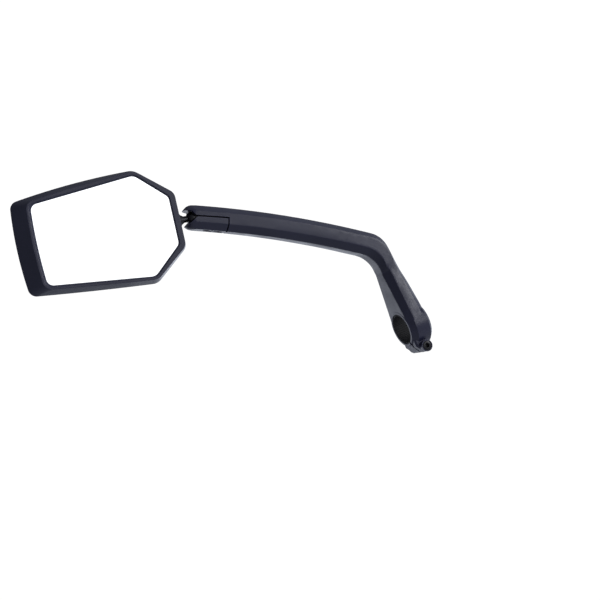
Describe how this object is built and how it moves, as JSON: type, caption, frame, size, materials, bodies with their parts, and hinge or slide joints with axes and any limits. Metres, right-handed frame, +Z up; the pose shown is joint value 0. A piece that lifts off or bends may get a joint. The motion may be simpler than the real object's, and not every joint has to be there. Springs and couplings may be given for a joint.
{
  "type": "bike mirror",
  "caption": "Rear-view mirror on a cranked arm that clamps round a handlebar; the six-sided head tilts and turns on a ball joint.",
  "frame": {"origin": "centre of the bar clamp's bore, on the handlebar's axis", "axes": "+X along the handlebar's axis, inboard towards the stem; +Z up, with the arm in the XZ plane; +Y forward, so the glass faces the rider on -Y"},
  "size_m": [0.2716, 0.0344, 0.2133],
  "materials": {
    "arm_plastic": "fine-textured glass-filled nylon",
    "head_plastic": "satin moulded plastic",
    "black_steel": "black oxide",
    "zinc_steel": "zinc plated",
    "stud_metal": "black zinc, satin",
    "brass": "knurled",
    "liner_rubber": "matte",
    "cup_nylon": "smooth nylon",
    "mirror_glass": "polished, silvered behind",
    "pad_foam": "closed-cell foam",
    "carrier_plastic": "moulded"
  },
  "bodies": {
    "arm": {"arm_beam": "arm_plastic", "socket_cap": "arm_plastic", "cap_screws": "black_steel", "cap_inserts": "brass", "clamp_liner": "liner_rubber", "clamp_washer": "zinc_steel", "clamp_nut": "zinc_steel"},
    "clamp_bolt": {"clamp_bolt": "black_steel"},
    "ball_seat": {"upper_ball_cup": "cup_nylon", "lower_ball_cup": "cup_nylon"},
    "ball_stud": {"ball_stud": "stud_metal", "stud_nut": "zinc_steel", "stud_washer": "zinc_steel"},
    "mirror_head": {"bezel": "head_plastic", "rear_housing": "head_plastic", "housing_screws": "black_steel", "mirror_glass": "mirror_glass", "glass_pad": "pad_foam", "glass_carrier": "carrier_plastic", "stud_bushing": "cup_nylon"}
  },
  "joints": [
    {"name": "ball_pan", "type": "hinge", "parent": "arm", "child": "ball_seat", "pos_m": [-0.1313, 0, 0.1369], "axis": [0.4067, 0, 0.9135], "range_deg": [-30, 30]},
    {"name": "ball_tilt", "type": "hinge", "parent": "ball_seat", "child": "ball_stud", "pos_m": [-0.1313, 0, 0.1369], "axis": [0, 1, 0], "range_deg": [-7, 20]},
    {"name": "head_spin", "type": "hinge", "parent": "ball_stud", "child": "mirror_head", "pos_m": [-0.1313, 0, 0.1369], "axis": [-0.9851, 0, 0.1719], "continuous": true},
    {"name": "clamp_bolt_out", "type": "slide", "parent": "arm", "child": "clamp_bolt", "axis": [0, -1, 0], "range_m": [0, 0.012]}
  ]
}
